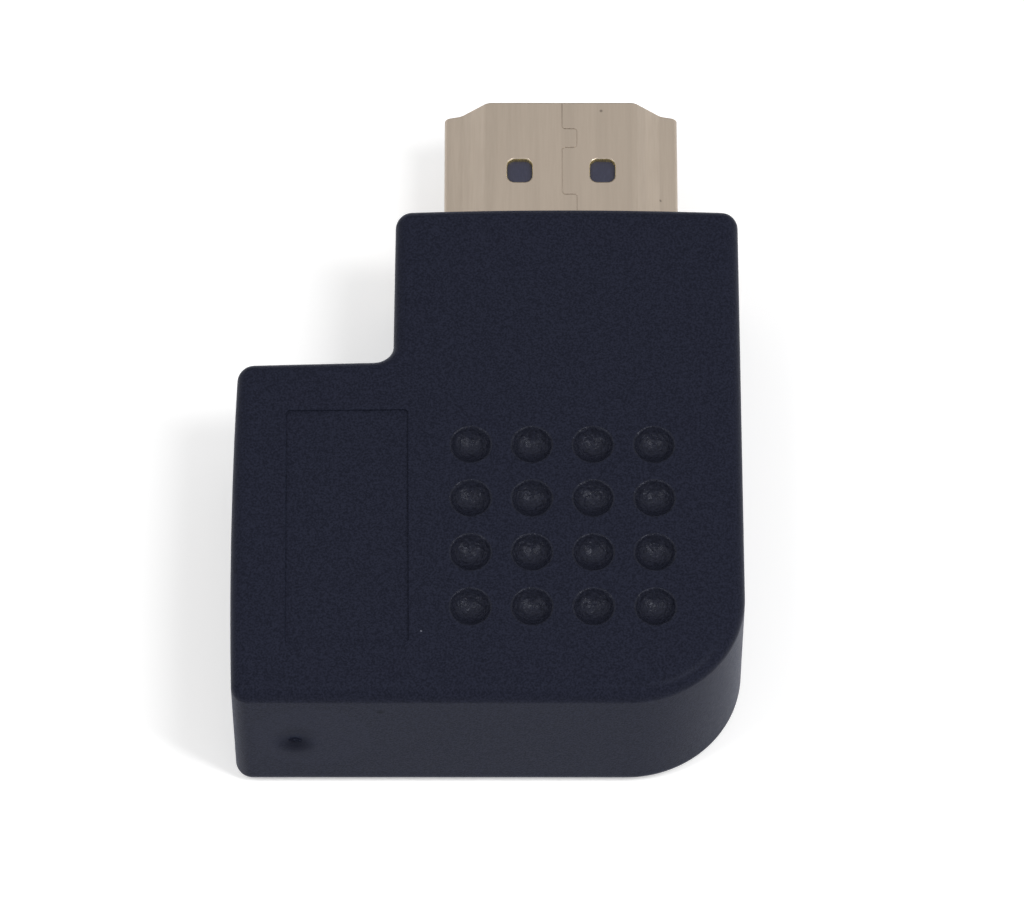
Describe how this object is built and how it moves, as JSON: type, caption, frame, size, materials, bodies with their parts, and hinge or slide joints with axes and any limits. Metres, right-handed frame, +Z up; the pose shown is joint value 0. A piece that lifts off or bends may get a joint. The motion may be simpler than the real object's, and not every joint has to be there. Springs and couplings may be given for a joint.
{
  "type": "right angle audio video plug to socket adapter",
  "caption": "Flat L-shaped adapter: a D-section audio video plug leaves one arm, and its matching socket opens at the end of the other, in the same plane.",
  "frame": {"origin": "under the centre of the whole object's box, on the face it lies on", "axes": "+Z up from the face it lies on, +Y the way the plug points, -X the way the socket opens"},
  "size_m": [0.0294, 0.0416, 0.011],
  "materials": {
    "black_pvc": "fine matt moulded PVC",
    "natural_pe": "milky polyethylene",
    "glass_fibre_board": "green solder mask",
    "gold_plate": "pale gold plated sheet, satin",
    "black_nylon": "moulded glass-filled nylon",
    "contact_gold": "bright gold plated contacts"
  },
  "bodies": {
    "root": {"housing": "black_pvc", "inner_mould": "natural_pe", "circuit_board": "glass_fibre_board", "plug_shell": "gold_plate", "plug_insulator": "black_nylon", "socket_shell": "gold_plate", "socket_insulator": "black_nylon", "plug_contact_01": "contact_gold", "plug_contact_02": "contact_gold", "plug_contact_03": "contact_gold", "plug_contact_04": "contact_gold", "plug_contact_05": "contact_gold", "plug_contact_06": "contact_gold", "plug_contact_07": "contact_gold", "plug_contact_08": "contact_gold", "plug_contact_09": "contact_gold", "plug_contact_10": "contact_gold", "plug_contact_11": "contact_gold", "plug_contact_12": "contact_gold", "plug_contact_13": "contact_gold", "plug_contact_14": "contact_gold", "plug_contact_15": "contact_gold", "plug_contact_16": "contact_gold", "plug_contact_17": "contact_gold", "plug_contact_18": "contact_gold", "plug_contact_19": "contact_gold", "socket_contact_01": "contact_gold", "socket_contact_02": "contact_gold", "socket_contact_03": "contact_gold", "socket_contact_04": "contact_gold", "socket_contact_05": "contact_gold", "socket_contact_06": "contact_gold", "socket_contact_07": "contact_gold", "socket_contact_08": "contact_gold", "socket_contact_09": "contact_gold", "socket_contact_10": "contact_gold", "socket_contact_11": "contact_gold", "socket_contact_12": "contact_gold", "socket_contact_13": "contact_gold", "socket_contact_14": "contact_gold", "socket_contact_15": "contact_gold", "socket_contact_16": "contact_gold", "socket_contact_17": "contact_gold", "socket_contact_18": "contact_gold", "socket_contact_19": "contact_gold"}
  },
  "joints": []
}
